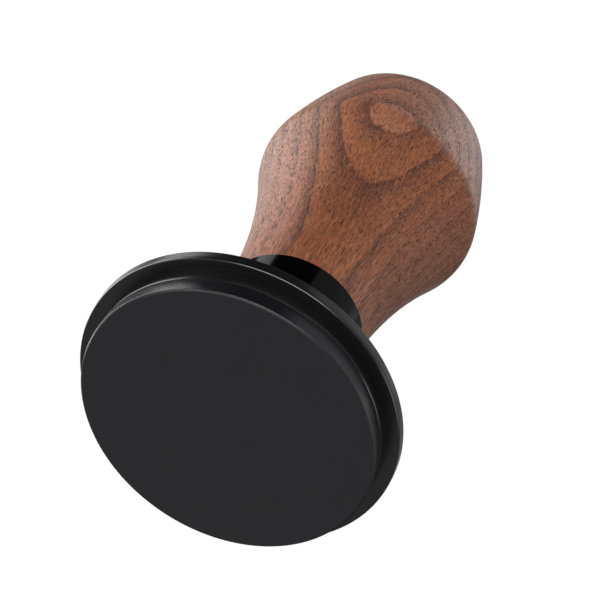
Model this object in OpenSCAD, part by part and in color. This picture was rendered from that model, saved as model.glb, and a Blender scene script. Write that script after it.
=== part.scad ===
// Espresso tamper with a spring-loaded base and a self-levelling plate.
// The tamping face lies on z = 0, centred on the origin, and the handle stands up along +Z.

/* [Base] */
// Diameter of the tamping base, a close fit in a 58 mm basket
base_d = 58.35; // [50:0.05:72]
// Height of the base's round side
base_h = 3.7; // [3:0.1:7]
// Chamfer around the tamping face
face_edge = 0.3; // [0.1:0.05:0.8]
// Diameter of the hub on the back of the base
hub_d = 18; // [15:0.5:22]
// Steel left under the threaded hole in the hub
hub_floor = 1.2; // [0.8:0.1:2]
// Size of the grub screw that locks the shaft in the hub
lock_screw_d = 2; // [1.6:0.1:2.2]

/* [Levelling plate] */
// How far the flange reaches out beyond the base, over the basket's rim
flange_reach = 2.83; // [1.5:0.01:5]
// Height of the boss that goes down inside the rim
boss_h = 2.2; // [1.8:0.1:5]
// Thickness of the flange
flange_h = 2.45; // [2:0.05:5]
// Height of the rounded lip at the foot of the boss
lip_h = 0.8; // [0.3:0.1:1.2]
// Depth of the rounded lip
lip_in = 0.22; // [0.1:0.02:0.4]
// Chamfer under the flange's edge
flange_under_edge = 0.45; // [0.1:0.05:0.8]
// Chamfer on top of the flange's edge
flange_top_edge = 0.25; // [0.1:0.05:0.6]
// How far the plate rides up the shaft as the base goes down into the basket
lift_travel = 10; // [6:0.5:14]

/* [Sleeve] */
// Wall of the sleeve that slides into the neck
sleeve_wall = 1.35; // [1:0.05:2.5]
// Room between the shaft and the sleeve, for the levelling spring
spring_room = 4; // [3:0.1:6]
// Width of the sleeve's foot outside its wall
foot_w = 5.15; // [4.8:0.05:8]
// Thickness of the sleeve's foot
foot_h = 1.55; // [1.4:0.05:2.5]
// Thickness of the sleeve's floor
sleeve_floor_h = 1.95; // [1.5:0.05:3]
// Number of screws that hold the sleeve's foot
foot_screws = 4; // [3:1:6]
// Thread size of those screws
foot_screw_d = 2.5; // [2:0.1:3]
// Length of those screws, head included
foot_screw_l = 3.8; // [3:0.1:4]

/* [Plunger] */
// Diameter of the plunger shaft
shaft_d = 10; // [8:0.1:12]
// Thread at the shaft's foot
shaft_foot_d = 8; // [6:0.5:8]
// Thread at the shaft's head
shaft_head_d = 6; // [5:0.5:7]
// How far the handle goes down against the main spring
press_travel = 5; // [3:0.5:7]
// Thickness of the shaft's spring washers
seat_h = 1.8; // [1.2:0.1:3]
// Thickness of the washer that stops the levelling spring
stop_h = 1.2; // [0.8:0.1:2]
// Thickness of the retaining clip
clip_h = 0.8; // [0.6:0.1:1.2]
// Depth of the clip's groove
clip_depth = 0.8; // [0.5:0.1:1]
// Height of the nut on the shaft's head
nut_h = 5; // [3:0.5:6]
// Size across the nut's flats
nut_flats = 10; // [8:0.5:11]

/* [Springs] */
// Wire of the levelling spring
light_wire = 1; // [0.6:0.1:1.4]
// Installed length of the levelling spring
light_len = 20.6; // [18:0.2:26]
// Turns of the levelling spring
light_turns = 7; // [5:0.5:8]
// Wire of the main spring
main_wire = 2.2; // [1.6:0.1:2.6]
// Mean diameter of the main spring
main_coil_d = 17; // [16:0.1:21]
// Installed length of the main spring
main_len = 20.5; // [18:0.5:28]
// Turns of the main spring
main_turns = 6; // [4:0.5:6.5]

/* [Neck] */
// Outer diameter of the neck
neck_d = 28.84; // [27:0.02:36]
// Length of neck below the wooden handle
neck_l = 10.7; // [8:0.1:20]
// Chamfer at the neck's mouth
neck_edge = 0.5; // [0.2:0.1:1]
// Wall of the neck's spigot inside the handle
core_wall = 1.4; // [1:0.1:2.5]
// Thickness of the web that carries the guide bush
web_h = 3.5; // [2.5:0.1:6]
// Height of the guide ring in the neck's mouth
guide_h = 3; // [2:0.1:5]
// Wall of the guide ring
guide_wall = 1.6; // [1.3:0.1:2]
// Wall of the neck around the main spring
chamber_wall = 1.3; // [1:0.1:2]

/* [Bushes and rings] */
// Wall of the bushes on the shaft
bush_wall = 1.45; // [1:0.05:2]
// Width of the bushes' flanges outside the bush wall
bush_rim = 1.55; // [1:0.05:2]
// Thickness of the bushes' flanges
bush_rim_h = 1; // [0.6:0.1:1.5]
// Thickness of the rubber damper
damper_h = 1; // [0.6:0.1:2]
// Section of the ring that keeps the handle from working loose
o_ring_d = 0.9; // [0.7:0.1:1.2]

/* [Preload] */
// Thickness of the washer on top of the main spring
top_washer_h = 1.5; // [1:0.1:2.5]
// Height of the threaded preload cap
cap_h = 4.3; // [3:0.1:8]
// Size of the cap's hexagon socket
cap_socket = 8; // [5:0.5:9]
// Height of the ring that locks the cap
lock_ring_h = 1.8; // [1.2:0.1:3]

/* [Handle] */
// Height of the wooden handle
handle_h = 69.3; // [57:0.1:84]
// Largest diameter of the handle
belly_d = 46.4; // [40:0.1:56]
// Height of the largest diameter above the handle's foot
belly_z = 42.7; // [38:0.1:48]
// Radius of the hollow flare between the neck and the belly
flare_r = 124; // [90:1:220]
// Radius that rounds the belly
belly_round = 8; // [4:0.5:12]
// Radius of the long curve above the belly
crown_r = 137; // [90:1:250]
// Radius that rounds the shoulder under the top
shoulder_round = 7.4; // [4:0.2:9]
// Distance of the shoulder round's centre from the axis
shoulder_x = 11.1; // [8:0.1:14]
// Radius of the domed top
dome_r = 60; // [40:1:120]
// Wall of the threaded insert in the handle
insert_wall = 1.05; // [0.8:0.05:2]
// Length of the threaded insert
insert_l = 17; // [10:0.5:18]

/* [Clearances] */
// Radial clearance of a running fit
running_fit = 0.05; // [0.02:0.01:0.1]
// Radial clearance of a screwed or glued fit
thread_fit = 0.05; // [0.02:0.01:0.1]
// Gap between faces that rest on each other
face_gap = 0.05; // [0.02:0.01:0.2]
// Gap between the base and the plate at rest
seat_gap = 0.1; // [0.05:0.05:0.5]
// Room left beyond the end of a travel
end_gap = 0.5; // [0.3:0.05:2]
// Radial room between pieces that pass without guiding each other
pass_gap = 0.4; // [0.3:0.05:0.5]

/* [Hidden] */
$fn = 96;
cut = 1; // overshoot of a cutting solid past a free face

// Base and hub
back_edge = 0.1;     // chamfer behind the base's round side
hub_edge = 0.4;      // chamfer on top of the hub
hub_play = 1;        // radial room between the hub and the plate's hole
lock_screw_in = 0.3; // how far the grub screw lies inside the hub
socket_share = 0.6;  // a grub screw's socket depth as a share of its length

// Levelling plate and its screws
boss_step = 0.025;       // how far the boss stands out from the base's side
lip_curve = [0.35, 0.4]; // the lip's middle point, as shares of its depth and height
head_share = 0.88;       // a screw head's radius as a share of the thread size
head_edge = 0.05;        // rim of a screw head
head_socket = [0.6, 0.45]; // its socket's width and depth as shares of the thread size
screw_hole_play = 0.1;   // radial room round a screw in the sleeve's foot
screw_hole_end = 0.2;    // room left at the end of a screw

// Sleeve and neck
sleeve_cover = 0.3;  // how far the sleeve reaches above the stop washer
sleeve_edge = 0.3;   // chamfer on top of the sleeve
neck_play = 0.15;    // further radial room between the sleeve and the neck
guide_inset = 1;     // depth of the guide ring in the neck's mouth
guide_split = 1;     // width of the slit through the guide ring
core_edge = 0.5;     // chamfer on top of the neck's thread
core_cover = 0.15;   // how far the neck reaches above the lock ring

// Plunger
foot_room = 0.2;     // room under the shaft's foot
foot_edge = 0.4;     // chamfer on the shaft's foot
head_edge_h = 0.5;   // chamfer on the shaft's head
head_over = 0.8;     // how far the shaft's head stands above the nut
clip_play = 0.05;    // axial play of the clip in its groove
clip_lug_a = 34;     // half-angle of each of the clip's three lugs
clip_rim = 0.7;      // radial room between the shaft and the clip's rim
clip_wall = 1.4;     // width of the clip's rim

// Main spring's chamber
chamber_play = 0.3;  // radial room round the main spring
seat_play = 0.25;    // radial room round the seat washer
top_play = 0.15;     // radial room round the top washer
top_bore_play = 1;   // radial room inside the top washer
damper_play = 0.5;   // radial room inside the damper
cap_floor = 0.25;    // the cap's floor as a share of its height
lock_ring_in = 1.5;  // how far the lock ring's bore clears the cap's socket
key_slot = [2, 0.4]; // the lock ring's key slot: its width, and its floor as a share of the ring

// Handle
o_ring_play = 0.03;  // radial play of the handle's rubber ring
o_ring_inset = 2.5;  // height of the rubber ring above the handle's foot
o_ring_groove = 0.6; // half-width of its groove, as a share of its section
insert_drop = 2;     // depth of the insert's top below the top of the neck's thread
insert_room = 1;     // room under the insert
bore_room = 1.3;     // room above the neck in the handle's bore

// Straight steps along the outline's arcs and round and along a spring
flare_steps = 18;
belly_steps = 10;
crown_steps = 10;
shoulder_steps = 12;
dome_steps = 6;
wire_sides = 10;
coil_steps = 20;
close_pitch = 1.04; // pitch of a close turn, in wires

// Radii, from the shaft outwards
base_r = base_d / 2;
shaft_r = shaft_d / 2;
bush_bore = shaft_r + running_fit;
bush_r = bush_bore + bush_wall;
bush_rim_r = bush_r + bush_rim;
sleeve_bore = max(shaft_r + spring_room, bush_rim_r + pass_gap);
sleeve_r = sleeve_bore + sleeve_wall;
foot_r = sleeve_r + foot_w;
foot_screw_pcr = sleeve_r + foot_w / 2;
foot_head_r = foot_screw_d * head_share;
foot_sink_r = foot_head_r + 2 * face_gap;
hub_r = hub_d / 2;
plate_hole_r = hub_r + hub_play;
light_r = (shaft_r + sleeve_bore) / 2;
clip_groove_r = shaft_r - clip_depth;
main_r = main_coil_d / 2;
chamber_r = main_r + main_wire / 2 + chamber_play;
core_thread_r = chamber_r + chamber_wall;
neck_bore = sleeve_r + pass_gap + neck_play;
guide_bore = sleeve_r + running_fit;
guide_r = guide_bore + guide_wall;
spigot_r = max(neck_bore + core_wall, core_thread_r + thread_fit + insert_wall);
handle_bore = spigot_r + thread_fit;
neck_r = neck_d / 2;
o_ring_r = handle_bore - o_ring_d / 2 - o_ring_play;
o_ring_groove_r = o_ring_r - o_ring_d / 2 - o_ring_play;

// Heights, from the tamping face upwards
plate_z = base_h + seat_gap;
flange_z = plate_z + boss_h;
plate_top = flange_z + flange_h;
foot_z = plate_top - foot_h;
hub_top = foot_z - end_gap - seat_gap;
sleeve_floor = foot_z + sleeve_floor_h;
light_z = sleeve_floor + face_gap + bush_rim_h;
stop_z = light_z + light_len;
clip_z = stop_z + stop_h;
sleeve_top = stop_z + stop_h + sleeve_cover;
neck_z = plate_top + lift_travel + press_travel + end_gap + face_gap;
handle_z = neck_z + neck_l;
web_z = sleeve_top + lift_travel + press_travel + end_gap;
web_top = web_z + web_h;
damper_z = web_top + face_gap + bush_rim_h + face_gap;
seat_z = damper_z + damper_h + face_gap;
main_z = seat_z + seat_h;
top_washer_z = main_z + main_len;
cap_z = top_washer_z + top_washer_h;
lock_ring_z = cap_z + cap_h;
core_top = lock_ring_z + lock_ring_h + core_cover;
bore_top = core_top + bore_room;
insert_top = core_top - insert_drop;
insert_z = insert_top - insert_l;
guide_z = neck_z + guide_inset;
o_ring_z = handle_z + o_ring_inset;
top_z = handle_z + handle_h;
lock_z = (base_h + hub_top) / 2;

// Where two circles cross: centres p and q, radii a and b, on the side that s picks (1 or -1)
function cross_of(p, a, q, b, s) =
    let (
        d = norm(q - p),
        u = (q - p) / d,
        t = (a * a - b * b + d * d) / (2 * d),
        h = sqrt(a * a - t * t)
    )
    p + t * u + s * h * [-u.y, u.x];
// The angle at which q is seen from p
function dir_of(p, q) = atan2(q.y - p.y, q.x - p.x);
// The same angle, from 0 to 360
function turn_of(p, q) = (dir_of(p, q) + 360) % 360;
// Points on an arc about c of radius r, from angle a to angle b
function arc(c, r, a, b, n) = [
    for (i = [0:n])
        let (t = a + (b - a) * i / n)
        c + r * [cos(t), sin(t)]
];

// The handle's outline is five tangent arcs: flare, belly, crown, shoulder and dome
belly_c = [belly_d / 2 - belly_round, handle_z + belly_z];
flare_c = cross_of([neck_r, handle_z], flare_r, belly_c, flare_r + belly_round, -1);
dome_c = [0, top_z - dome_r];
shoulder_c = dome_c + [shoulder_x, sqrt(pow(dome_r - shoulder_round, 2) - shoulder_x * shoulder_x)];
crown_c = cross_of(belly_c, crown_r - belly_round, shoulder_c, crown_r - shoulder_round, 1);
crown_a = dir_of(crown_c, belly_c);
crown_b = dir_of(crown_c, shoulder_c);
dome_a = dir_of(dome_c, shoulder_c);
outline = concat(
    arc(flare_c, flare_r, turn_of(flare_c, [neck_r, handle_z]), turn_of(flare_c, belly_c), flare_steps),
    arc(belly_c, belly_round, dir_of(belly_c, flare_c), crown_a, belly_steps),
    arc(crown_c, crown_r, crown_a, crown_b, crown_steps),
    arc(shoulder_c, shoulder_round, crown_b, dome_a, shoulder_steps),
    arc(dome_c, dome_r, dome_a, 90, dome_steps)
);

// A ring with a square section
module ring(r_in, r_out, z, h) {
    translate([0, 0, z])
        difference() {
            cylinder(r = r_out, h = h);
            translate([0, 0, -cut]) cylinder(r = r_in, h = h + 2 * cut);
        }
}

// A hexagon prism, sized across its flats
module hexagon(flats, h) {
    cylinder(d = flats / cos(30), h = h, $fn = 6);
}

// The height of a coil spring's centre line, at turn t of n: one close turn at each end
function coil_rise(t, n, wire, len) =
    let (
        dead = wire * close_pitch,
        pitch = (len - wire - 2 * dead) / (n - 2)
    )
    wire / 2 + (t < 1 ? dead * t : t > n - 1 ? len - wire - dead * (n - t) : dead + pitch * (t - 1));

// A coil spring that stands on z and is as tall as len
module coil_spring(r, wire, z, len, turns) {
    last = round(turns * coil_steps);
    centres = [for (i = [0:last]) coil_rise(i / coil_steps, turns, wire, len)];
    points = [
        for (i = [0:last])
            for (k = [0:wire_sides - 1])
                let (
                    a = 360 * i / coil_steps,
                    b = 360 * k / wire_sides,
                    rr = r + wire / 2 * cos(b)
                )
                [rr * cos(a), rr * sin(a), z + centres[i] + wire / 2 * sin(b)]
    ];
    walls = [
        for (i = [0:last - 1])
            for (k = [0:wire_sides - 1])
                let (
                    p = i * wire_sides + k,
                    q = i * wire_sides + (k + 1) % wire_sides
                )
                [p, q, q + wire_sides, p + wire_sides]
    ];
    start_cap = [for (k = [wire_sides - 1:-1:0]) k];
    end_cap = [for (k = [0:wire_sides - 1]) last * wire_sides + k];
    polyhedron(points, concat(walls, [start_cap, end_cap]), convexity = 10);
}

// Flanged bush on the shaft: z is the lower end, rim_z the underside of its flange
module flanged_bush(z, rim_z) {
    difference() {
        union() {
            translate([0, 0, z]) cylinder(r = bush_r, h = rim_z + bush_rim_h - z);
            translate([0, 0, rim_z]) cylinder(r = bush_rim_r, h = bush_rim_h);
        }
        translate([0, 0, z - cut]) cylinder(r = bush_bore, h = rim_z + bush_rim_h - z + 2 * cut);
    }
}

// Steel disc that presses the coffee, with a threaded hub on its back
module tamping_base() {
    color([0.17, 0.17, 0.18])
        difference() {
            rotate_extrude()
                polygon([
                    [0, 0], [base_r - face_edge, 0], [base_r, face_edge], [base_r, base_h - back_edge],
                    [base_r - back_edge, base_h], [hub_r, base_h], [hub_r, hub_top - hub_edge],
                    [hub_r - hub_edge, hub_top], [0, hub_top]
                ]);
            translate([0, 0, hub_floor]) cylinder(d = shaft_foot_d, h = hub_top);
            translate([0, 0, lock_z]) rotate([0, 90, 0]) cylinder(d = lock_screw_d, h = hub_r + cut);
        }
}

// Ground steel shaft: foot thread, clip groove and head thread
module plunger_shaft() {
    foot_r0 = shaft_foot_d / 2 - thread_fit;
    head_r0 = shaft_head_d / 2 - thread_fit;
    foot_end = hub_floor + foot_room;
    groove_top = clip_z + clip_h + 2 * clip_play;
    head_top = main_z + nut_h + head_over;
    color([0.78, 0.79, 0.80])
        rotate_extrude()
            polygon([
                [0, foot_end], [foot_r0 - foot_edge, foot_end], [foot_r0, foot_end + foot_edge],
                [foot_r0, hub_top], [shaft_r, hub_top], [shaft_r, clip_z],
                [clip_groove_r, clip_z], [clip_groove_r, groove_top],
                [shaft_r, groove_top], [shaft_r, seat_z], [head_r0, seat_z],
                [head_r0, head_top - head_edge_h], [head_r0 - head_edge_h, head_top], [0, head_top]
            ]);
}

// Grub screw through the hub, against the shaft's foot
module shaft_lock_screw() {
    r = lock_screw_d / 2 - thread_fit;
    x = shaft_foot_d / 2;
    l = hub_r - x - lock_screw_in;
    color([0.25, 0.25, 0.26])
        translate([x, 0, lock_z])
            rotate([0, 90, 0])
                difference() {
                    cylinder(r = r, h = l);
                    translate([0, 0, l * (1 - socket_share)]) hexagon(r, l);
                }
}

// Washer that stops the upper end of the levelling spring
module spring_stop_washer() {
    color([0.70, 0.71, 0.72])
        ring(shaft_r + running_fit, sleeve_bore - pass_gap, stop_z, stop_h);
}

// Open retaining clip with three lugs, snapped into the shaft's groove
module retaining_clip() {
    lug_r = clip_groove_r + clip_play;
    rim_r = shaft_r + clip_rim;
    outer_r = rim_r + clip_wall;
    color([0.30, 0.30, 0.32])
        translate([0, 0, clip_z + clip_play])
            linear_extrude(clip_h)
                difference() {
                    circle(r = outer_r);
                    difference() {
                        circle(r = rim_r);
                        for (a = [90, 180, 270])
                            rotate(a)
                                polygon([
                                    [0, 0], [outer_r, outer_r * tan(clip_lug_a / 2)],
                                    [outer_r, -outer_r * tan(clip_lug_a / 2)]
                                ]);
                    }
                    circle(r = lug_r);
                    translate([0, -lug_r]) square([outer_r + cut, 2 * lug_r]);
                }
}

// Thick washer under the main spring, clamped on the shaft's shoulder
module seat_washer() {
    color([0.70, 0.71, 0.72])
        ring(shaft_head_d / 2, chamber_r - seat_play, seat_z, seat_h);
}

// Nut that clamps the seat washer
module plunger_nut() {
    color([0.75, 0.75, 0.76])
        translate([0, 0, main_z])
            difference() {
                hexagon(nut_flats, nut_h);
                translate([0, 0, -cut]) cylinder(d = shaft_head_d, h = nut_h + 2 * cut);
            }
}

// Aluminium plate: its boss enters the basket and its flange lands on the basket's rim
module levelling_plate() {
    flange_r = base_r + flange_reach;
    boss_r = base_r + boss_step;
    lip_mid = [boss_r - lip_in * lip_curve[0], plate_z + lip_h * lip_curve[1]];
    color([0.12, 0.12, 0.13])
        difference() {
            rotate_extrude()
                polygon([
                    [plate_hole_r, plate_z], [boss_r - lip_in, plate_z], lip_mid,
                    [boss_r, plate_z + lip_h], [boss_r, flange_z], [flange_r - flange_under_edge, flange_z],
                    [flange_r, flange_z + flange_under_edge], [flange_r, plate_top - flange_top_edge],
                    [flange_r - flange_top_edge, plate_top], [foot_r + running_fit, plate_top],
                    [foot_r + running_fit, foot_z], [plate_hole_r, foot_z]
                ]);
            for (i = [0:foot_screws - 1])
                rotate(360 * (i + 0.5) / foot_screws)
                    translate([foot_screw_pcr, 0, plate_top - foot_screw_l - screw_hole_end])
                        cylinder(d = foot_screw_d, h = foot_screw_l);
        }
}

// Sleeve on the plate: a foot let into the plate, a floor for the bush, and a tube that enters the neck
module levelling_sleeve() {
    color([0.10, 0.10, 0.11])
        difference() {
            rotate_extrude()
                polygon([
                    [bush_r + running_fit, foot_z], [foot_r, foot_z], [foot_r, plate_top],
                    [sleeve_r, plate_top], [sleeve_r, sleeve_top - sleeve_edge],
                    [sleeve_r - sleeve_edge, sleeve_top],
                    [sleeve_bore, sleeve_top], [sleeve_bore, sleeve_floor],
                    [bush_r + running_fit, sleeve_floor]
                ]);
            for (i = [0:foot_screws - 1])
                rotate(360 * (i + 0.5) / foot_screws)
                    translate([foot_screw_pcr, 0, 0]) {
                        translate([0, 0, foot_z - cut])
                            cylinder(d = foot_screw_d + 2 * screw_hole_play, h = foot_h + 2 * cut);
                        translate([0, 0, plate_top - foot_sink_r])
                            cylinder(r1 = 0, r2 = foot_sink_r + cut, h = foot_sink_r + cut);
                    }
        }
}

// Countersunk screws with hexagon sockets, through the sleeve's foot into the plate
module sleeve_screws() {
    shank_r = foot_screw_d / 2 - thread_fit;
    color([0.22, 0.22, 0.23])
        for (i = [0:foot_screws - 1])
            rotate(360 * (i + 0.5) / foot_screws)
                translate([foot_screw_pcr, 0, plate_top - face_gap])
                    difference() {
                        rotate_extrude()
                            polygon([
                                [0, -foot_screw_l], [shank_r, -foot_screw_l],
                                [shank_r, shank_r - foot_head_r], [foot_head_r - head_edge, -head_edge],
                                [foot_head_r - head_edge, 0], [0, 0]
                            ]);
                        translate([0, 0, -foot_screw_d * head_socket[1]])
                            hexagon(foot_screw_d * head_socket[0], foot_screw_d);
                    }
}

// Polymer bush on which the plate and its sleeve slide and turn
module sleeve_bush() {
    color([0.85, 0.82, 0.70])
        flanged_bush(foot_z + face_gap, sleeve_floor + face_gap);
}

// Light spring that presses the plate down onto the base
module levelling_spring() {
    color([0.72, 0.73, 0.75])
        coil_spring(light_r, light_wire, light_z, light_len, light_turns);
}

// Black neck: mouth for the sleeve, web for the guide bush, chamber for the main spring
module neck_housing() {
    groove_half = o_ring_d * o_ring_groove;
    core_foot = insert_z - insert_room;
    color([0.05, 0.05, 0.055])
        rotate_extrude()
            polygon([
                [neck_bore + neck_edge, neck_z], [neck_r - neck_edge, neck_z], [neck_r, neck_z + neck_edge],
                [neck_r, handle_z], [spigot_r, handle_z],
                [spigot_r, o_ring_z - groove_half], [o_ring_groove_r, o_ring_z - groove_half],
                [o_ring_groove_r, o_ring_z + groove_half], [spigot_r, o_ring_z + groove_half],
                [spigot_r, core_foot], [core_thread_r, core_foot],
                [core_thread_r, core_top - core_edge], [core_thread_r - core_edge, core_top],
                [chamber_r, core_top], [chamber_r, web_top], [bush_r + running_fit, web_top],
                [bush_r + running_fit, web_z], [neck_bore, web_z],
                [neck_bore, guide_z + guide_h], [guide_r, guide_z + guide_h],
                [guide_r, guide_z], [neck_bore, guide_z], [neck_bore, neck_z + neck_edge]
            ]);
}

// Split guide ring that carries the sleeve in the neck's mouth
module neck_guide_ring() {
    color([0.20, 0.20, 0.21])
        difference() {
            ring(guide_bore, guide_r, guide_z, guide_h);
            translate([guide_bore - cut, -guide_split / 2, guide_z - cut])
                cube([guide_wall + 2 * cut, guide_split, guide_h + 2 * cut]);
        }
}

// Polymer bush in the web, on which the neck and handle slide and turn
module guide_bush() {
    color([0.85, 0.82, 0.70])
        flanged_bush(web_z + face_gap, web_top + face_gap);
}

// Rubber ring that softens the end of the return stroke
module damper_ring() {
    color([0.15, 0.15, 0.15])
        ring(shaft_r + damper_play, bush_rim_r, damper_z, damper_h);
}

// Calibrated spring between the plunger and the handle
module main_spring() {
    color([0.72, 0.73, 0.75])
        coil_spring(main_r, main_wire, main_z, main_len, main_turns);
}

// Washer between the main spring and the preload cap
module top_washer() {
    color([0.70, 0.71, 0.72])
        ring(shaft_head_d / 2 + top_bore_play, chamber_r - top_play, top_washer_z, top_washer_h);
}

// Threaded cap that sets the main spring's preload
module preload_cap() {
    color([0.45, 0.45, 0.47])
        translate([0, 0, cap_z])
            difference() {
                cylinder(r = chamber_r - thread_fit, h = cap_h);
                translate([0, 0, cap_h * cap_floor]) hexagon(cap_socket, cap_h);
            }
}

// Thin ring with two key slots that locks the cap
module preload_lock_ring() {
    color([0.55, 0.55, 0.57])
        difference() {
            ring(cap_socket / 2 + lock_ring_in, chamber_r - thread_fit, lock_ring_z, lock_ring_h);
            translate([-chamber_r - cut, -key_slot[0] / 2, lock_ring_z + lock_ring_h * key_slot[1]])
                cube([2 * (chamber_r + cut), key_slot[0], lock_ring_h]);
        }
}

// Brass insert, threaded inside and glued into the handle
module handle_insert() {
    color([0.78, 0.62, 0.30])
        ring(core_thread_r + thread_fit, spigot_r, insert_z, insert_l);
}

// Rubber ring on the neck's spigot
module handle_o_ring() {
    color([0.10, 0.10, 0.10])
        rotate_extrude()
            translate([o_ring_r, o_ring_z]) circle(d = o_ring_d, $fn = 32);
}

// Turned walnut handle with a blind bore
module walnut_handle() {
    color([0.48, 0.32, 0.23])
        rotate_extrude($fn = 128)
            polygon(concat([[handle_bore, handle_z]], outline, [[0, bore_top], [handle_bore, bore_top]]));
}

tamping_base();
plunger_shaft();
shaft_lock_screw();
spring_stop_washer();
retaining_clip();
seat_washer();
plunger_nut();
levelling_plate();
levelling_sleeve();
sleeve_screws();
sleeve_bush();
levelling_spring();
neck_housing();
neck_guide_ring();
guide_bush();
damper_ring();
main_spring();
top_washer();
preload_cap();
preload_lock_ring();
handle_insert();
handle_o_ring();
walnut_handle();
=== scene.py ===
from math import atan2, cos, pi, radians, sin, sqrt, tan

import bmesh
import bpy
from mathutils import Matrix, Vector


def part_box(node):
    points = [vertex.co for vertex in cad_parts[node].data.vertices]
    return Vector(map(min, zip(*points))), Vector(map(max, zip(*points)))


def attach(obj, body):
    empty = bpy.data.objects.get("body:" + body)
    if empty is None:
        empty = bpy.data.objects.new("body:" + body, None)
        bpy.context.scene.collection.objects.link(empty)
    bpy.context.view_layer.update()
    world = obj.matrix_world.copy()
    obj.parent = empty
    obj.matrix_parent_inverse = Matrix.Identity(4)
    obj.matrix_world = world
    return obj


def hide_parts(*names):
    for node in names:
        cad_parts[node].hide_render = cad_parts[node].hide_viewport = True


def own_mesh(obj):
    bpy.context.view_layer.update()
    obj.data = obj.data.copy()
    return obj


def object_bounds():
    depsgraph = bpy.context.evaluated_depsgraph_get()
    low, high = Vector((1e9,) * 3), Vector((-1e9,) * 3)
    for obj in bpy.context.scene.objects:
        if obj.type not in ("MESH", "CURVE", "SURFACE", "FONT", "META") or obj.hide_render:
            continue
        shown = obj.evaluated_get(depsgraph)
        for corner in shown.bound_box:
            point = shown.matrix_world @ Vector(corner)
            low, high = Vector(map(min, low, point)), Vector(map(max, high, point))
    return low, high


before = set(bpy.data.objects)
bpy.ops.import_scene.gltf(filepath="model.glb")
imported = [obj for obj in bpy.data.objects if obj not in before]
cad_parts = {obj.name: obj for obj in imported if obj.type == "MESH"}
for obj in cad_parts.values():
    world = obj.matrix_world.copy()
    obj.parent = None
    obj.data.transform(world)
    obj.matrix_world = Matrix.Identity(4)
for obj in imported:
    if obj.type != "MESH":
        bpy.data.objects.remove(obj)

cad_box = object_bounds()


# ---------------------------------------------------------------------------
# Tamping base
# A solid steel disc that presses the coffee flat. It is turned all over, blackened, and screwed to the foot
# of the plunger shaft by the hub on its back.
MM = 0.001
base_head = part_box("tamping_base")[1]
plate_foot, plate_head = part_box("levelling_plate")
base_r = base_head.x
seat_gap = 0.1 * MM
base_h = plate_foot.z - seat_gap
hub_r = 9 * MM
shaft_thread_r = 4 * MM
hub_floor = 1.2 * MM
face_edge = 0.3 * MM
face_edge_round = 0.14 * MM
back_edge_round = 0.12 * MM
root_round = 0.4 * MM
lathe_steps = 256
sharp_angle = radians(35)
weld_gap = 0.001 * MM
fine_relief = 0.01 * MM


def rounded(corners, steps=4):
    """The points of an outline given as (radius, height, rounding), with its round corners as arcs."""
    points = []
    for i, (r, z, rounding) in enumerate(corners):
        here = Vector((r, z))
        if rounding == 0 or i in (0, len(corners) - 1):
            points.append(here)
            continue
        before = (Vector(corners[i - 1][:2]) - here).normalized()
        after = (Vector(corners[i + 1][:2]) - here).normalized()
        half = before.angle(after) / 2
        reach = rounding / tan(half)
        centre = here + (before + after).normalized() * rounding / sin(half)
        start, end = here + before * reach, here + after * reach
        points.append(start + before * reach / 4)
        for k in range(steps + 1):
            spoke = (start - centre).lerp(end - centre, k / steps)
            points.append(centre + spoke.normalized() * rounding)
        points.append(end + after * reach / 4)
    return points


def node(tree, kind, inputs=None, **settings):
    """A new node with its settings and inputs given; an input that is a socket is wired."""
    made = tree.nodes.new(kind)
    for key, value in settings.items():
        setattr(made, key, value)
    for key, value in (inputs or {}).items():
        if isinstance(value, bpy.types.NodeSocket):
            tree.links.new(value, made.inputs[key])
        else:
            made.inputs[key].default_value = value
    return made


def maths(tree, operation, *values):
    """The output of a Math node that works on the values."""
    return node(tree, "ShaderNodeMath", dict(enumerate(values)), operation=operation).outputs[0]


def tree_with(name, **inputs):
    """An empty Geometry Nodes tree with a geometry in and out and the named inputs."""
    tree = bpy.data.node_groups.new(name, "GeometryNodeTree")
    tree.interface.new_socket("Geometry", in_out="OUTPUT", socket_type="NodeSocketGeometry")
    tree.interface.new_socket("Geometry", in_out="INPUT", socket_type="NodeSocketGeometry")
    for label, kind in inputs.items():
        tree.interface.new_socket(label, in_out="INPUT", socket_type="NodeSocket" + kind)
    return tree, tree.nodes.new("NodeGroupInput"), tree.nodes.new("NodeGroupOutput")


def complete(tree, given, result, shape):
    """Ends a tree: the shape is made real, gets its finish and is handed out."""
    real = node(tree, "GeometryNodeRealizeInstances", {"Geometry": shape})
    painted = node(tree, "GeometryNodeSetMaterial",
                   {"Geometry": real.outputs[0], "Material": given.outputs["Finish"]})
    tree.links.new(painted.outputs[0], result.inputs[0])
    return tree


def finished(name, mesh, tree, **inputs):
    """The plain mesh object that the tree makes from mesh, with its faces turned outwards."""
    rough = bpy.data.objects.new(name + "_rough", mesh)
    bpy.context.scene.collection.objects.link(rough)
    maker = rough.modifiers.new("maker", "NODES")
    maker.node_group = tree
    for item in tree.interface.items_tree:
        if item.in_out == "INPUT" and item.name in inputs:
            maker[item.identifier] = inputs[item.name]
    bpy.context.view_layer.update()
    made = bpy.data.meshes.new_from_object(rough.evaluated_get(bpy.context.evaluated_depsgraph_get()))
    rough.modifiers.clear()
    bpy.data.objects.remove(rough)
    shell = bmesh.new()
    shell.from_mesh(made)
    bmesh.ops.recalc_face_normals(shell, faces=shell.faces)
    shell.to_mesh(made)
    shell.free()
    made.shade_smooth()
    made.set_sharp_from_angle(angle=sharp_angle)
    made.name = name
    piece = bpy.data.objects.new(name, made)
    bpy.context.scene.collection.objects.link(piece)
    return piece


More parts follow.
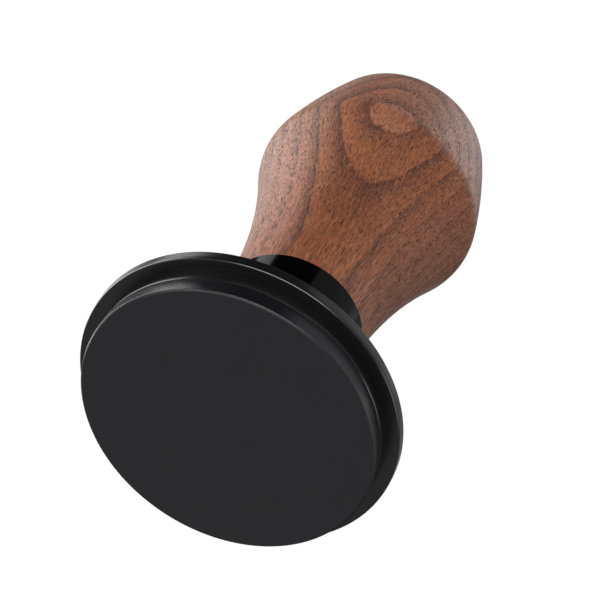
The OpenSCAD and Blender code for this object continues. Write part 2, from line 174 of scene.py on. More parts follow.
def lathe_tree():
    """Turns an outline of (radius, 0, height) points about the Z axis."""
    tree, given, result = tree_with("lathe", Steps="Int", Finish="Material")
    outline = given.outputs["Geometry"]
    size = node(tree, "GeometryNodeAttributeDomainSize", {0: outline}, component="MESH")
    count = size.outputs["Point Count"]
    rows = maths(tree, "ADD", given.outputs["Steps"], 1)
    sheet = node(tree, "GeometryNodeMeshGrid", {"Vertices X": rows, "Vertices Y": count})
    index = node(tree, "GeometryNodeInputIndex").outputs[0]
    row = maths(tree, "FLOOR", maths(tree, "DIVIDE", maths(tree, "ADD", index, 0.5), count))
    point = maths(tree, "SUBTRACT", index, maths(tree, "MULTIPLY", row, count))
    place = node(tree, "GeometryNodeInputPosition").outputs[0]
    sample = node(tree, "GeometryNodeSampleIndex", data_type="FLOAT_VECTOR", domain="POINT")
    tree.links.new(outline, sample.inputs["Geometry"])
    tree.links.new(place, sample.inputs["Value"])
    tree.links.new(point, sample.inputs["Index"])
    here = node(tree, "ShaderNodeSeparateXYZ", {0: sample.outputs["Value"]})
    turn = maths(tree, "MULTIPLY", maths(tree, "DIVIDE", row, given.outputs["Steps"]), 2 * pi)
    x = maths(tree, "MULTIPLY", here.outputs["X"], maths(tree, "COSINE", turn))
    y = maths(tree, "MULTIPLY", here.outputs["X"], maths(tree, "SINE", turn))
    spun = node(tree, "ShaderNodeCombineXYZ", {"X": x, "Y": y, "Z": here.outputs["Z"]})
    moved = node(tree, "GeometryNodeSetPosition",
                 {"Geometry": sheet.outputs["Mesh"], "Position": spun.outputs[0]})
    closed = node(tree, "GeometryNodeMergeByDistance", {"Geometry": moved.outputs[0], "Distance": weld_gap})
    return complete(tree, given, result, closed.outputs[0])


lathe = lathe_tree()


def turned(name, outline, finish, steps=lathe_steps):
    """A piece turned from its outline, a list of (radius, height) points."""
    line = bpy.data.meshes.new(name + "_outline")
    line.from_pydata([(p[0], 0, p[1]) for p in outline], [(i, i + 1) for i in range(len(outline) - 1)], [])
    return finished(name, line, lathe, Steps=steps, Finish=finish)


def finish_for(name):
    """A new material with its shader, its node tree and its object coordinates."""
    material = bpy.data.materials.new(name)
    material.use_nodes = True
    tree = material.node_tree
    shader = tree.nodes["Principled BSDF"]
    place = node(tree, "ShaderNodeTexCoord").outputs["Object"]
    return material, tree, shader, place


def blend_of(tree, share, low, high):
    """A colour between low and high."""
    mix = node(tree, "ShaderNodeMix", {"Factor": share}, data_type="RGBA")
    for slot_name, value in (("A", low), ("B", high)):
        socket = [s for s in mix.inputs if s.name == slot_name and s.type == "RGBA"][0]
        if isinstance(value, bpy.types.NodeSocket):
            tree.links.new(value, socket)
        else:
            socket.default_value = (*value, 1)
    return [s for s in mix.outputs if s.type == "RGBA"][0]


def between(tree, value, low, high, out_low=0.0, out_high=1.0):
    """Value's range low to high, mapped smoothly to out_low to out_high."""
    return node(tree, "ShaderNodeMapRange",
                {"Value": value, "From Min": low, "From Max": high, "To Min": out_low, "To Max": out_high},
                interpolation_type="SMOOTHSTEP").outputs[0]


def uneven(tree, pattern, amount, middle):
    """A number that wanders about the middle with the pattern, by the amount."""
    return maths(tree, "MULTIPLY_ADD", maths(tree, "SUBTRACT", pattern, 0.5), amount, middle)


def give_relief(tree, shader, height, strength, depth=fine_relief):
    """Raises the surface where the height is great."""
    bump = node(tree, "ShaderNodeBump", {"Height": height, "Strength": strength, "Distance": depth})
    tree.links.new(bump.outputs[0], shader.inputs["Normal"])


def turned_black(name, dark, light, roughness, groove_mm, groove_strength):
    """Black-finished metal with the fine rings that the lathe leaves, and a faint cloudiness."""
    material, tree, shader, place = finish_for(name)
    at = node(tree, "ShaderNodeSeparateXYZ", {0: place})
    x_squared = maths(tree, "POWER", at.outputs["X"], 2)
    y_squared = maths(tree, "POWER", at.outputs["Y"], 2)
    across = maths(tree, "SQRT", maths(tree, "ADD", x_squared, y_squared))
    ring = node(tree, "ShaderNodeCombineXYZ", {"X": across, "Z": at.outputs["Z"]})
    rings = node(tree, "ShaderNodeTexNoise",
                 {"Vector": ring.outputs[0], "Scale": 1 / (groove_mm * MM), "Detail": 3})
    clouds = node(tree, "ShaderNodeTexNoise", {"Vector": place, "Scale": 90, "Detail": 5, "Roughness": 0.6})
    specks = node(tree, "ShaderNodeTexNoise", {"Vector": place, "Scale": 5200, "Detail": 2})
    cloud_share = 0.6
    cloud_part = maths(tree, "MULTIPLY", clouds.outputs["Fac"], cloud_share)
    ring_part = maths(tree, "MULTIPLY", rings.outputs["Fac"], 1 - cloud_share)
    tone = between(tree, maths(tree, "ADD", cloud_part, ring_part), 0.3, 0.7)
    tree.links.new(blend_of(tree, tone, dark, light), shader.inputs["Base Color"])
    tree.links.new(uneven(tree, clouds.outputs["Fac"], 0.08, roughness), shader.inputs["Roughness"])
    speck_part = maths(tree, "MULTIPLY", specks.outputs["Fac"], 0.5)
    give_relief(tree, shader, maths(tree, "ADD", rings.outputs["Fac"], speck_part), groove_strength)
    return material


blackened_steel = turned_black(
    "blackened_steel", dark=(0.0042, 0.0037, 0.0052), light=(0.0054, 0.0048, 0.0066),
    roughness=0.28, groove_mm=0.12, groove_strength=0.2)

base_outline = rounded([
    (0, 0, 0), (base_r - face_edge, 0, face_edge_round), (base_r, face_edge, face_edge_round),
    (base_r, base_h, back_edge_round), (hub_r, base_h, root_round), (hub_r, base_head.z, root_round),
    (shaft_thread_r, base_head.z, root_round / 4), (shaft_thread_r, hub_floor, root_round / 4),
    (0, hub_floor, 0),
])
tamping_disc = turned("tamping_disc", base_outline, blackened_steel)
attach(tamping_disc, "base")
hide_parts("tamping_base")


# ---------------------------------------------------------------------------
# Plunger shaft and what is fixed to it
# A ground steel rod that joins the base to the handle. A clip and a washer on it stop the levelling spring,
# and a washer and a nut at its head carry the main spring. A grub screw locks its foot in the base's hub.


def plain_metal(name, dark, light, roughness, grain_mm):
    """Bare or plated steel with fine drawn lines round it and uneven polish."""
    material, tree, shader, place = finish_for(name)
    stretched = node(tree, "ShaderNodeMapping", {"Vector": place, "Scale": (1, 1, 14)})
    lines = node(tree, "ShaderNodeTexNoise",
                 {"Vector": stretched.outputs[0], "Scale": 1 / (grain_mm * MM), "Detail": 3})
    clouds = node(tree, "ShaderNodeTexNoise", {"Vector": place, "Scale": 260, "Detail": 4})
    tone = blend_of(tree, between(tree, clouds.outputs["Fac"], 0.35, 0.65), dark, light)
    tree.links.new(tone, shader.inputs["Base Color"])
    tree.links.new(uneven(tree, lines.outputs["Fac"], 0.2, roughness), shader.inputs["Roughness"])
    give_relief(tree, shader, lines.outputs["Fac"], 0.15)
    shader.inputs["Metallic"].default_value = 1
    return material


def paint(material, *names):
    """Gives CAD nodes their finish."""
    for name in names:
        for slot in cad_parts[name].material_slots:
            slot.material = material


bright_steel = plain_metal("bright_steel", (0.50, 0.50, 0.51), (0.60, 0.60, 0.61), 0.28, 0.6)
dark_steel = plain_metal("dark_steel", (0.055, 0.055, 0.058), (0.08, 0.08, 0.082), 0.38, 0.4)
paint(bright_steel, "plunger_shaft", "spring_stop_washer", "seat_washer", "plunger_nut", "top_washer")
paint(dark_steel, "retaining_clip", "shaft_lock_screw")


# ---------------------------------------------------------------------------
# Levelling plate
# A black anodised aluminium ring whose flange rests on the basket's rim and holds the tamper level. The
# boss below it enters the basket, with a rounded lip. It is bored for the base's hub and sunk for the sleeve.
plate_r = plate_head.x
boss_r = 29.2 * MM
lip_r = 28.98 * MM
lip_mid_r = 29.123 * MM
lip_mid_h = 0.32 * MM
lip_h = 0.8 * MM
lip_foot_round = 0.05 * MM
lip_round = 0.15 * MM
boss_h = 2.2 * MM
boss_top = plate_foot.z + boss_h
under_edge = 0.2 * MM
under_rise = 0.8 * MM
top_edge = 0.25 * MM
edge_round = 0.1 * MM
plate_hole_r = 10 * MM
sleeve_low, sleeve_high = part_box("levelling_sleeve")
foot_r = -sleeve_low.x
sink_clearance = 0.05 * MM
sink_r = foot_r + sink_clearance

black_anodised = turned_black(
    "black_anodised", dark=(0.0030, 0.0030, 0.0032), light=(0.0048, 0.0048, 0.0050),
    roughness=0.25, groove_mm=0.1, groove_strength=0.2)

plate_outline = rounded([
    (plate_hole_r, plate_foot.z, 0), (lip_r, plate_foot.z, lip_foot_round),
    (lip_mid_r, plate_foot.z + lip_mid_h, lip_round), (boss_r, plate_foot.z + lip_h, lip_round),
    (boss_r, boss_top, 0), (plate_r - under_edge, boss_top, edge_round),
    (plate_r - under_edge / 4, boss_top + under_edge, 2 * under_edge),
    (plate_r, boss_top + under_rise, under_rise), (plate_r, plate_head.z - top_edge, edge_round),
    (plate_r - top_edge, plate_head.z, edge_round), (sink_r, plate_head.z, edge_round),
    (sink_r, sleeve_low.z, 0), (plate_hole_r, sleeve_low.z, 0), (plate_hole_r, plate_foot.z, 0),
])
levelling_ring = turned("levelling_ring", plate_outline, black_anodised)
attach(levelling_ring, "plate")
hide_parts("levelling_plate")


# ---------------------------------------------------------------------------
# Sleeve
# A black anodised aluminium tube that slides in the neck and carries the plate. Its wide foot sits in the
# plate's recess, where four screws hold it.
sleeve_r = 10.35 * MM
sleeve_bore = 9 * MM
sleeve_floor_h = 1.95 * MM
sleeve_floor = sleeve_low.z + sleeve_floor_h
floor_bore = 6.55 * MM

sleeve_outline = rounded([
    (floor_bore, sleeve_low.z, 0), (foot_r, sleeve_low.z, 0), (foot_r, plate_head.z, edge_round),
    (sleeve_r, plate_head.z, root_round), (sleeve_r, sleeve_high.z, root_round),
    (sleeve_bore, sleeve_high.z, root_round / 4), (sleeve_bore, sleeve_floor, root_round / 4),
    (floor_bore, sleeve_floor, 0), (floor_bore, sleeve_low.z, 0),
])
sliding_sleeve = turned("sliding_sleeve", sleeve_outline, black_anodised)
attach(sliding_sleeve, "plate")
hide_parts("levelling_sleeve")


# ---------------------------------------------------------------------------
# Foot screws
# Four countersunk socket screws of blackened steel, which hold the sleeve's foot down on the plate. They are
# one screw, set round the foot's pitch circle.
screw_count = 4
screw_low, screw_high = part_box("sleeve_screws")
screw_head_r = 2.2 * MM
screw_thread_r = 1.2 * MM
screw_socket = 1.5 * MM
screw_socket_depth = 1.1 * MM
screw_circle_r = (foot_r + sleeve_r) / 2
screw_steps = 48


def hexagon_r(flats, turn):
    """The distance from a hexagon's middle to its side, in the direction turn."""
    sector = pi / 3
    return flats / 2 / cos((turn % sector) - sector / 2)


def socket_screw_mesh():
    """One screw, standing on its axis, with its head at the screws' height."""
    top, foot = screw_high.z, screw_low.z
    edge = 0.06 * MM
    cone = screw_head_r - screw_thread_r
    rings = [
        (0, top - screw_socket_depth, False), (screw_socket, top - screw_socket_depth, True),
        (screw_socket, top - edge, True), (screw_socket + 2 * edge, top, True),
        (screw_head_r - edge, top, False), (screw_head_r, top - edge, False),
        (screw_head_r, top - 2 * edge, False), (screw_thread_r, top - 2 * edge - cone, False),
        (screw_thread_r, foot + 3 * edge, False), (screw_thread_r - 3 * edge, foot, False), (0, foot, False),
    ]
    shell = bmesh.new()
    rows = []
    for size, z, six_sided in rings:
        row = []
        for k in range(screw_steps):
            turn = 2 * pi * k / screw_steps
            r = hexagon_r(size, turn) if six_sided else size
            row.append(shell.verts.new((r * cos(turn), r * sin(turn), z)))
        rows.append(row)
    for upper, lower in zip(rows, rows[1:]):
        for k in range(screw_steps):
            following = (k + 1) % screw_steps
            shell.faces.new((upper[k], upper[following], lower[following], lower[k]))
    bmesh.ops.remove_doubles(shell, verts=shell.verts, dist=weld_gap)
    bmesh.ops.recalc_face_normals(shell, faces=shell.faces)
    mesh = bpy.data.meshes.new("foot_screw")
    shell.to_mesh(mesh)
    shell.free()
    return mesh


def circle_of_screws():
    """Sets the screw that it is given on the points of a circle."""
    tree, given, result = tree_with("screw_circle", Count="Int", Radius="Float", Finish="Material")
    ring = node(tree, "GeometryNodeMeshCircle",
                {"Vertices": given.outputs["Count"], "Radius": given.outputs["Radius"]})
    half_step = maths(tree, "DIVIDE", pi, given.outputs["Count"])
    turn = node(tree, "ShaderNodeCombineXYZ", {"Z": half_step})
    turned_ring = node(tree, "GeometryNodeTransform",
                       {"Geometry": ring.outputs[0], "Rotation": turn.outputs[0]})
    twist = node(tree, "FunctionNodeRandomValue", {2: -pi, 3: pi, "Seed": 4}, data_type="FLOAT")
    facing = node(tree, "ShaderNodeCombineXYZ", {"Z": twist.outputs[1]})
    screws = node(tree, "GeometryNodeInstanceOnPoints",
                  {"Points": turned_ring.outputs[0], "Instance": given.outputs["Geometry"],
                   "Rotation": facing.outputs[0]})
    return complete(tree, given, result, screws.outputs[0])


foot_screws = finished("foot_screws", socket_screw_mesh(), circle_of_screws(),
                       Count=screw_count, Radius=screw_circle_r, Finish=dark_steel)
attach(foot_screws, "plate")
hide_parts("sleeve_screws")


# ---------------------------------------------------------------------------
# Bushes, guide ring and damper
# Moulded polymer rings that the shaft and the sleeve slide in, pressed into their seats, and a rubber ring
# that takes the knock when the handle springs back.


def moulded(name, dark, light, roughness, grain_mm):
    """Moulded polymer or rubber with a fine cast grain."""
    material, tree, shader, place = finish_for(name)
    grain = node(tree, "ShaderNodeTexNoise", {"Vector": place, "Scale": 1 / (grain_mm * MM), "Detail": 3})
    clouds = node(tree, "ShaderNodeTexNoise", {"Vector": place, "Scale": 300, "Detail": 3})
    tone = blend_of(tree, between(tree, clouds.outputs["Fac"], 0.35, 0.65), dark, light)
    tree.links.new(tone, shader.inputs["Base Color"])
    tree.links.new(uneven(tree, grain.outputs["Fac"], 0.15, roughness), shader.inputs["Roughness"])
    give_relief(tree, shader, grain.outputs["Fac"], 0.2)
    return material


bush_polymer = moulded("bush_polymer", (0.50, 0.46, 0.38), (0.56, 0.52, 0.43), 0.45, 0.2)
guide_polymer = moulded("guide_polymer", (0.014, 0.014, 0.015), (0.02, 0.02, 0.021), 0.45, 0.2)
soft_rubber = moulded("soft_rubber", (0.012, 0.012, 0.012), (0.018, 0.018, 0.018), 0.7, 0.15)
paint(bush_polymer, "sleeve_bush", "guide_bush")
paint(guide_polymer, "neck_guide_ring")
paint(soft_rubber, "damper_ring", "handle_o_ring")


# ---------------------------------------------------------------------------
# Springs
# Coiled from round spring steel, with a close turn at each end. The light one holds the plate down; the main
# one, inside the handle, sets the pressing force.
light_wire = 1.0 * MM
light_turns = 7.0
main_wire = 2.2 * MM
main_turns = 6.0
close_pitch = 1.04
wire_sides = 14
steps_a_turn = 36


def coil_tree():
    """Winds a spring on the Z axis, from its foot upwards, with one close turn at each end."""
    tree, given, result = tree_with("coil", Radius="Float", Wire="Float", Foot="Float", Length="Float",
                                    Turns="Float", Points="Int", Finish="Material")
    wire, length, turns = given.outputs["Wire"], given.outputs["Length"], given.outputs["Turns"]
    line = node(tree, "GeometryNodeMeshLine", {"Count": given.outputs["Points"]})
    steps = maths(tree, "SUBTRACT", given.outputs["Points"], 1)
    share = maths(tree, "DIVIDE", node(tree, "GeometryNodeInputIndex").outputs[0], steps)
    turn = maths(tree, "MULTIPLY", share, turns)
    close = maths(tree, "MULTIPLY", wire, close_pitch)
    open_turns = maths(tree, "SUBTRACT", turns, 2)
    wire_run = maths(tree, "SUBTRACT", length, wire)
    open_length = maths(tree, "SUBTRACT", wire_run, maths(tree, "MULTIPLY", close, 2))
    pitch = maths(tree, "DIVIDE", open_length, open_turns)
    first = maths(tree, "MULTIPLY", maths(tree, "MINIMUM", turn, 1), close)
    past_first = maths(tree, "MAXIMUM", maths(tree, "SUBTRACT", turn, 1), 0)
    middle = maths(tree, "MULTIPLY", maths(tree, "MINIMUM", past_first, open_turns), pitch)
    past_open = maths(tree, "MAXIMUM", maths(tree, "SUBTRACT", past_first, open_turns), 0)
    rise = maths(tree, "ADD", maths(tree, "ADD", first, middle), maths(tree, "MULTIPLY", past_open, close))
    half_wire = maths(tree, "MULTIPLY", wire, 0.5)
    height = maths(tree, "ADD", maths(tree, "ADD", given.outputs["Foot"], rise), half_wire)
    angle = maths(tree, "MULTIPLY", turn, 2 * pi)
    x = maths(tree, "MULTIPLY", maths(tree, "COSINE", angle), given.outputs["Radius"])
    y = maths(tree, "MULTIPLY", maths(tree, "SINE", angle), given.outputs["Radius"])
    spot = node(tree, "ShaderNodeCombineXYZ", {"X": x, "Y": y, "Z": height})
    wound = node(tree, "GeometryNodeSetPosition", {"Geometry": line.outputs[0], "Position": spot.outputs[0]})
    path = node(tree, "GeometryNodeMeshToCurve", {"Mesh": wound.outputs[0]})
    section = node(tree, "GeometryNodeCurvePrimitiveCircle",
                   {"Resolution": wire_sides, "Radius": half_wire})
    rod = node(tree, "GeometryNodeCurveToMesh",
               {"Curve": path.outputs[0], "Profile Curve": section.outputs[0], "Fill Caps": True})
    return complete(tree, given, result, rod.outputs[0])


coil = coil_tree()
spring_steel = plain_metal("spring_steel", (0.22, 0.22, 0.23), (0.30, 0.30, 0.31), 0.32, 0.5)


def coil_spring(name, stands_for, wire, turns):
    """A spring in its CAD node's place."""
    low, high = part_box(stands_for)
    length = high.z - low.z
    spring = finished(name, bpy.data.meshes.new(name + "_start"), coil, Radius=high.x - wire / 2, Wire=wire,
                      Foot=low.z, Length=length, Turns=turns, Points=int(turns * steps_a_turn) + 1,
                      Finish=spring_steel)
    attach(spring, "base")
    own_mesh(spring)
    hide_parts(stands_for)


coil_spring("light_coil", "levelling_spring", light_wire, light_turns)
coil_spring("main_coil", "main_spring", main_wire, main_turns)


# ---------------------------------------------------------------------------
# Neck housing
# A gloss black aluminium turning between the plate and the handle. Its spigot goes up inside the wood, where
# it holds the shaft's bush and the chamber of the main spring.
neck_low, neck_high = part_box("neck_housing")
handle_low, handle_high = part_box("walnut_handle")
neck_r = 14.42 * MM
neck_bore = 10.9 * MM
guide_low, guide_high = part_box("neck_guide_ring")
guide_r = guide_high.x
spigot_r = 12.3 * MM
spigot_top = 63.2 * MM
web_z = 47.5 * MM
web_top = 51.0 * MM
web_bore = 6.55 * MM
chamber_r = 9.9 * MM
core_r = 11.2 * MM
mouth_edge = 0.5 * MM
mouth_round = 0.15 * MM


def gloss_black():
    """Polished black anodising: a deep black under a clear, hard surface with the faintest turning lines."""
    material, tree, shader, place = finish_for("gloss_black")
    at = node(tree, "ShaderNodeSeparateXYZ", {0: place})
    level = node(tree, "ShaderNodeCombineXYZ", {"Z": at.outputs["Z"]})
    lines = node(tree, "ShaderNodeTexNoise", {"Vector": level.outputs[0], "Scale": 9000, "Detail": 2})
    clouds = node(tree, "ShaderNodeTexNoise", {"Vector": place, "Scale": 120, "Detail": 4})
    dark, light = (0.0006, 0.0006, 0.0006), (0.0012, 0.0012, 0.0012)
    tone = blend_of(tree, between(tree, clouds.outputs["Fac"], 0.3, 0.7), dark, light)
    tree.links.new(tone, shader.inputs["Base Color"])
    tree.links.new(uneven(tree, clouds.outputs["Fac"], 0.06, 0.12), shader.inputs["Roughness"])
    give_relief(tree, shader, lines.outputs["Fac"], 0.08)
    shader.inputs["Specular IOR Level"].default_value = 0.09
    return material


neck_black = gloss_black()
neck_outline = rounded([
    (neck_bore, neck_low.z, mouth_round), (neck_r - mouth_edge, neck_low.z, mouth_round),
    (neck_r, neck_low.z + mouth_edge, mouth_round), (neck_r, handle_low.z, 0), (spigot_r, handle_low.z, 0),
    (spigot_r, spigot_top, edge_round), (core_r, spigot_top, 0), (core_r, neck_high.z, edge_round),
    (chamber_r, neck_high.z, edge_round), (chamber_r, web_top, 0), (web_bore, web_top, 0),
    (web_bore, web_z, 0), (neck_bore, web_z, 0), (neck_bore, guide_high.z, 0), (guide_r, guide_high.z, 0),
    (guide_r, guide_low.z, 0), (neck_bore, guide_low.z, 0), (neck_bore, neck_low.z, 0),
])
black_neck = turned("black_neck", neck_outline, neck_black)
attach(black_neck, "handle")
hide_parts("neck_housing")


# ---------------------------------------------------------------------------
# Preload cap, lock ring and insert
# Brass turnings. The cap and its lock ring screw into the top of the neck and set the main spring's force,
# and the insert is glued into the wood.
brass = plain_metal("brass", (0.52, 0.36, 0.14), (0.62, 0.44, 0.19), 0.3, 0.5)
paint(brass, "preload_cap", "preload_lock_ring", "handle_insert")


# ---------------------------------------------------------------------------
# Walnut handle
# Turned from one block of walnut with the grain along its length, then oiled. The flare, belly, crown,
# shoulder and dome run into each other, and the belly cuts the growth rings into closed figures.
belly_r = handle_high.x
belly_h = handle_low.z + 42.7 * MM
flare_round = 124 * MM
belly_round = 8 * MM
crown_round = 137 * MM
shoulder_round = 7.4 * MM
shoulder_x = 11.1 * MM
dome_round = 60 * MM
handle_bore = 12.35 * MM
bore_top = 84.5 * MM


def crossing(p, a, q, b, side):
    """Where two circles cross: centres p and q, radii a and b."""
    apart = (q - p).length
    along = (q - p) / apart
    t = (a * a - b * b + apart * apart) / (2 * apart)
    return p + along * t + Vector((-along.y, along.x)) * side * sqrt(a * a - t * t)


def heading(p, q):
    """The angle at which q is seen from p."""
    return atan2(q.y - p.y, q.x - p.x)


def arc(centre, r, start, end, steps):
    """Points along an arc, without its first one."""
    span = (end - start + pi) % (2 * pi) - pi
    return [centre + Vector((cos(start + span * k / steps), sin(start + span * k / steps))) * r
            for k in range(1, steps + 1)]


handle_foot = Vector((neck_r, handle_low.z))
belly_c = Vector((belly_r - belly_round, belly_h))
flare_c = crossing(handle_foot, flare_round, belly_c, flare_round + belly_round, -1)
dome_c = Vector((0, handle_high.z - dome_round))
shoulder_c = dome_c + Vector((shoulder_x, sqrt((dome_round - shoulder_round) ** 2 - shoulder_x ** 2)))
crown_c = crossing(belly_c, crown_round - belly_round, shoulder_c, crown_round - shoulder_round, 1)
handle_outline = [Vector((0, bore_top)), Vector((handle_bore, bore_top)), Vector((handle_bore, handle_low.z)),
                  handle_foot]
handle_outline += arc(flare_c, flare_round, heading(flare_c, handle_foot), heading(flare_c, belly_c), 48)
handle_outline += arc(belly_c, belly_round, heading(belly_c, flare_c), heading(crown_c, belly_c), 16)
handle_outline += arc(crown_c, crown_round, heading(crown_c, belly_c), heading(crown_c, shoulder_c), 24)
handle_outline += arc(shoulder_c, shoulder_round, heading(crown_c, shoulder_c),
                      heading(dome_c, shoulder_c), 18)
handle_outline += arc(dome_c, dome_round, heading(dome_c, shoulder_c), pi / 2, 16)


def walnut():
    """Oiled walnut: growth rings, fibres along Z, and the short dark pores that they cut through."""
    material, tree, shader, place = finish_for("oiled_walnut")
    eye_turn = radians(-100.6)
    eye_height = 75
    light_low, light_high = (0.208, 0.060, 0.017), (0.272, 0.088, 0.030)
    ring_dark, eye_wood = (0.064, 0.018, 0.007), (0.285, 0.105, 0.050)
    fibre_dark, fibre_pale = (0.085, 0.028, 0.014), (0.34, 0.145, 0.085)
    pore_dark = (0.034, 0.010, 0.006)

    # Millimetres, with X out towards the eye of the figure and Z up from the eye's height
    at = node(tree, "ShaderNodeMapping",
              {"Vector": place, "Scale": (1 / MM, 1 / MM, 1 / MM), "Rotation": (0, 0, -eye_turn),
               "Location": (0, 0, -eye_height)})
    wood = at.outputs[0]
    xyz = node(tree, "ShaderNodeSeparateXYZ", {0: wood})
    u, w, z = xyz.outputs["X"], xyz.outputs["Y"], xyz.outputs["Z"]

    def times(a, b):
        return maths(tree, "MULTIPLY", a, b)

    def plus(a, b):
        return maths(tree, "ADD", a, b)

    def noise(scale, stretch, detail=3, offset=0.0, rough=0.5):
        """Noise in millimetres, longer along the fibres by the stretch."""
        along = node(tree, "ShaderNodeMapping", {"Vector": wood, "Scale": (1, 1, 1 / stretch),
                                                 "Location": (offset, offset, offset)})
        return node(tree, "ShaderNodeTexNoise", {"Vector": along.outputs[0], "Scale": scale, "Detail": detail,
                                                 "Roughness": rough}).outputs["Fac"]

    # Depth into the growth rings, which lean, bow, twist and cup across the block
    lean, bow, twist, cup = -0.0994, -0.0005, -0.0030, -0.0073
    depth = plus(u, times(z, lean))
    depth = plus(depth, times(times(z, z), bow))
    depth = plus(depth, times(times(w, z), twist))
    depth = plus(depth, times(times(w, w), cup))
    wander = times(maths(tree, "SUBTRACT", noise(0.09, 3, 3, 7.0), 0.5), 1.6)
    fuzz = times(maths(tree, "SUBTRACT", noise(1.3, 7, 3, 3.0), 0.5), 0.55)
    depth = plus(plus(depth, wander), fuzz)
    eye_depth, ring_width = 22.3, 3.53
    rings = times(maths(tree, "SUBTRACT", eye_depth, depth), 1 / ring_width)

    # Runs of wide years and of narrow ones
    run_of_years, unevenness = 3.9, 0.25
    rings = plus(rings, times(maths(tree, "SINE", times(rings, pi / run_of_years)), unevenness))
    inside = between(tree, rings, 0.04, -0.04)
    phase = maths(tree, "FRACT", plus(rings, 8))

    # Each ring is dark at its outer edge and lightens inwards, some rings more than others
    ramp = node(tree, "ShaderNodeValToRGB", {"Fac": phase})
    bands = ramp.color_ramp
    bands.elements[0].color = (1, 1, 1, 1)
    bands.elements[1].color = (0.55, 0.55, 0.55, 1)
    for where, dark_share in ((0.05, 0.92), (0.16, 0.66), (0.42, 0.34), (0.75, 0.08), (0.95, 0.0)):
        bands.elements.new(where).color = (dark_share, dark_share, dark_share, 1)
    strength = between(tree, noise(0.11, 3, 2, 31.0), 0.35, 0.6, 0.35, 1.0)
    strength = times(strength, between(tree, rings, 1.4, 3.5, 1.0, 0.45))
    tint = noise(0.07, 2.5, 4, 11.0)
    light = blend_of(tree, between(tree, tint, 0.38, 0.62), light_low, light_high)
    tone = blend_of(tree, times(ramp.outputs["Color"], strength), light, ring_dark)
    tone = blend_of(tree, inside, tone, eye_wood)

    # Fine fibres, darker and paler than the wood around them
    fibres = noise(2.6, 16, 3, 5.0, 0.6)
    tone = blend_of(tree, between(tree, fibres, 0.46, 0.64, 0, 0.65), tone, fibre_dark)
    pale = noise(1.9, 14, 3, 19.0, 0.6)
    tone = blend_of(tree, between(tree, pale, 0.50, 0.68, 0, 0.45), tone, fibre_pale)

    # Pores: short dark tubes along the fibres, closer together at a ring's dark edge
    near_edge = between(tree, phase, 0.0, 0.6, 1.0, 0.3)
    near_edge = times(near_edge, between(tree, inside, 0.0, 1.0, 1.0, 0.5))
    tubes = plus(noise(3.7, 13, 1, 23.0), times(near_edge, 0.07))
    fine_tubes = plus(noise(6.0, 20, 1, 41.0), times(near_edge, 0.06))
    wide_pores = between(tree, tubes, 0.635, 0.675)
    fine_pores = between(tree, fine_tubes, 0.60, 0.65, 0, 0.65)
    pore = maths(tree, "MAXIMUM", wide_pores, fine_pores)
    tone = blend_of(tree, times(pore, 0.9), tone, pore_dark)
    tree.links.new(tone, shader.inputs["Base Color"])

    gloss = plus(times(fibres, 0.16), times(pore, 0.25))
    tree.links.new(plus(gloss, 0.36), shader.inputs["Roughness"])
    relief = maths(tree, "SUBTRACT", times(fibres, 0.3), pore)
    pore_relief = 0.06 * MM
    give_relief(tree, shader, relief, 0.6, pore_relief)
    shader.inputs["Specular IOR Level"].default_value = 0.42
    return material


wooden_handle = turned("wooden_handle", handle_outline, walnut())
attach(wooden_handle, "handle")
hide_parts("walnut_handle")


# ---------------------------------------------------------------------------
# Studio
# A pale floor that can only be seen from above, soft boxes, and a white backdrop. The camera looks up from
# below the floor at the tamping face, rolled so that the handle leans to the right.
scene = bpy.context.scene
scene.view_settings.view_transform = "Standard"

floor_mesh = bpy.data.meshes.new("studio_floor")
floor_half = 3.0
floor_grey = 0.16
floor_glow = 0.78
floor_corners = [(x * floor_half, y * floor_half, 0) for x, y in ((-1, -1), (1, -1), (1, 1), (-1, 1))]
floor_mesh.from_pydata(floor_corners, [], [(0, 1, 2, 3)])
floor = bpy.data.objects.new("studio_floor", floor_mesh)
scene.collection.objects.link(floor)
floor_paint = bpy.data.materials.new("studio_floor")
floor_paint.use_nodes = True
floor_tree = floor_paint.node_tree
floor_shader = floor_tree.nodes["Principled BSDF"]
floor_shader.inputs["Base Color"].default_value = (floor_grey, floor_grey, floor_grey, 1)
floor_shader.inputs["Emission Color"].default_value = (1, 1, 1, 1)
floor_shader.inputs["Emission Strength"].default_value = floor_glow
floor_shader.inputs["Roughness"].default_value = 0.8
from_below = node(floor_tree, "ShaderNodeNewGeometry").outputs["Backfacing"]
unseen = node(floor_tree, "ShaderNodeBsdfTransparent").outputs[0]
one_sided = node(floor_tree, "ShaderNodeMixShader", {0: from_below, 1: floor_shader.outputs[0], 2: unseen})
floor_tree.links.new(one_sided.outputs[0], floor_tree.nodes["Material Output"].inputs["Surface"])
floor_mesh.materials.append(floor_paint)
floor.visible_shadow = False
floor.visible_diffuse = False
floor.visible_glossy = False
floor.visible_transmission = False


def direction(azimuth, elevation):
    """The direction of a compass azimuth, 0 towards -Y and 90 towards +X, and an elevation, in degrees."""
    a, e = radians(azimuth), radians(elevation)
    return Vector((sin(a) * cos(e), -cos(a) * cos(e), sin(e)))


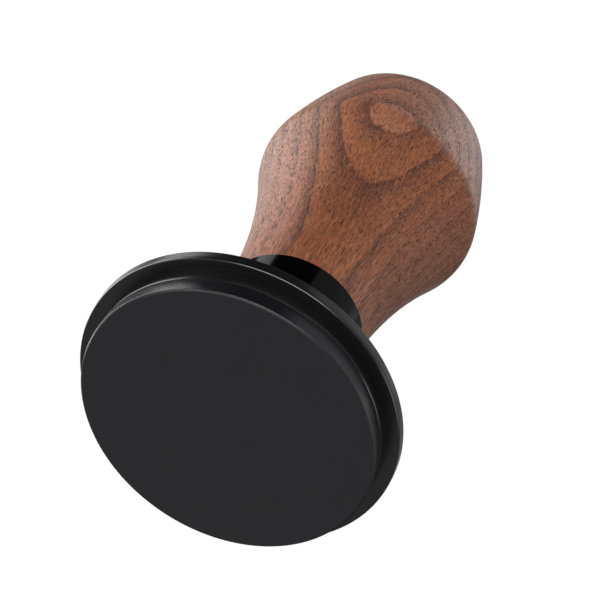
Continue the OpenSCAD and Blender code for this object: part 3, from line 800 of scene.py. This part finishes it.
sky = bpy.data.worlds.new("studio")
scene.world = sky
sky.use_nodes = True
sky_tree = sky.node_tree
seen = node(sky_tree, "ShaderNodeLightPath").outputs["Is Camera Ray"]
towards_sky = node(sky_tree, "ShaderNodeTexCoord").outputs["Generated"]
height = node(sky_tree, "ShaderNodeSeparateXYZ", {0: towards_sky}).outputs["Z"]
low_fill, high_fill = 0.375, 0.015
fill_foot, fill_top = -0.35, 0.25
fill = between(sky_tree, height, fill_foot, fill_top, low_fill, high_fill)
glow_centre = direction(192, 46)
glow_core, glow_edge = radians(14), radians(36)
towards_glow = node(sky_tree, "ShaderNodeVectorMath", {0: towards_sky, 1: glow_centre},
                    operation="DOT_PRODUCT").outputs["Value"]
glow = between(sky_tree, towards_glow, cos(glow_edge), cos(glow_core))
brightness = maths(sky_tree, "MAXIMUM", seen, maths(sky_tree, "ADD", fill, glow))
sky_tree.links.new(brightness, sky_tree.nodes["Background"].inputs["Strength"])
sky_tree.nodes["Background"].inputs["Color"].default_value = (1, 1, 1, 1)

middle = Vector((0, 0, (cad_box[0].z + cad_box[1].z) / 2))


def soft_box(name, azimuth, elevation, distance, width, height, power):
    """A soft box that faces the tamper."""
    lamp = bpy.data.lights.new(name, "AREA")
    lamp.shape = "RECTANGLE"
    lamp.size, lamp.size_y = width, height
    lamp.energy = power
    holder = bpy.data.objects.new(name, lamp)
    towards = direction(azimuth, elevation)
    holder.location = middle + towards * distance
    holder.rotation_mode = "QUATERNION"
    holder.rotation_quaternion = towards.to_track_quat("Z", "Y")
    holder.visible_camera = False
    scene.collection.objects.link(holder)


soft_box("front_box", -14, -25, 0.9, 0.9, 0.32, 7.8)
soft_box("left_box", -92, 47, 0.8, 0.28, 0.3, 0.55)
soft_box("low_left_box", -108, 18, 0.8, 1.0, 0.5, 8.6)
soft_box("edge_box", -78, -40, 0.8, 0.5, 0.3, 1.0)
soft_box("right_box", 45, 38, 0.9, 1.1, 0.8, 1.5)
soft_box("right_back_box", 108, 38, 0.9, 0.7, 0.8, 0.6)
soft_box("low_right_box", 75, -5, 0.9, 0.5, 0.4, 1.8)
soft_box("right_high_box", 80, 69, 0.9, 0.7, 0.4, 1.8)
soft_box("under_box", -90, -82, 0.8, 0.5, 0.5, 1.2)
soft_box("top_box", 0, 85, 0.9, 0.5, 0.5, 0.6)

view_distance = 0.5534
view_elevation = -46.3
view_roll = radians(32.74)
view_aim = Vector((-0.0005, 0, 0.04025))
camera_data = bpy.data.cameras.new("camera")
camera_data.lens = 180
camera_data.sensor_width = 36
camera = bpy.data.objects.new("camera", camera_data)
back = direction(0, view_elevation)
camera.location = back * view_distance
camera.rotation_mode = "QUATERNION"
look = (camera.location - view_aim).normalized()
camera.rotation_quaternion = look.to_track_quat("Z", "Y") @ Matrix.Rotation(view_roll, 3, "Z").to_quaternion()
scene.collection.objects.link(camera)
scene.camera = camera
